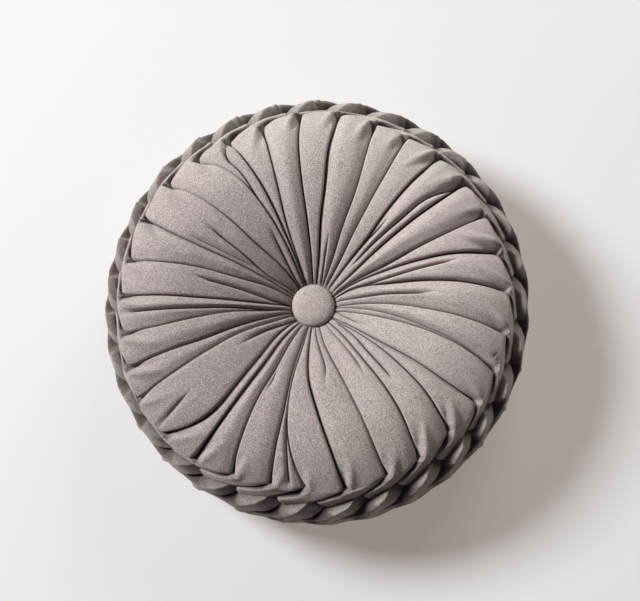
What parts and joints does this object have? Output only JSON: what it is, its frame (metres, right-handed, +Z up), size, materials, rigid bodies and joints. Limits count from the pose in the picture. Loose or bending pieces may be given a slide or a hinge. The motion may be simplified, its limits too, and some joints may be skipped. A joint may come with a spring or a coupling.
{
  "type": "round pleated velvet cushion",
  "caption": "Round filled cushion in short velvet, with radial pleats on both faces, a braided smocked wall and a covered button sunk in the middle of each face.",
  "frame": {"origin": "middle of the footprint, on the surface that the cushion lies on", "axes": "+Z up, out of the face that shows; -Y is the side nearest the viewer of the picture; the buttons lie 2.6 mm beside the origin, towards -X"},
  "size_m": [0.3796, 0.3858, 0.1111],
  "materials": {
    "velvet": "warm light grey short-pile velvet, matte with paler fold edges",
    "button_velvet": "the same velvet stretched smooth over a button form"
  },
  "bodies": {
    "root": {"cover": "velvet", "button_top": "button_velvet", "button_back": "button_velvet"}
  },
  "joints": []
}
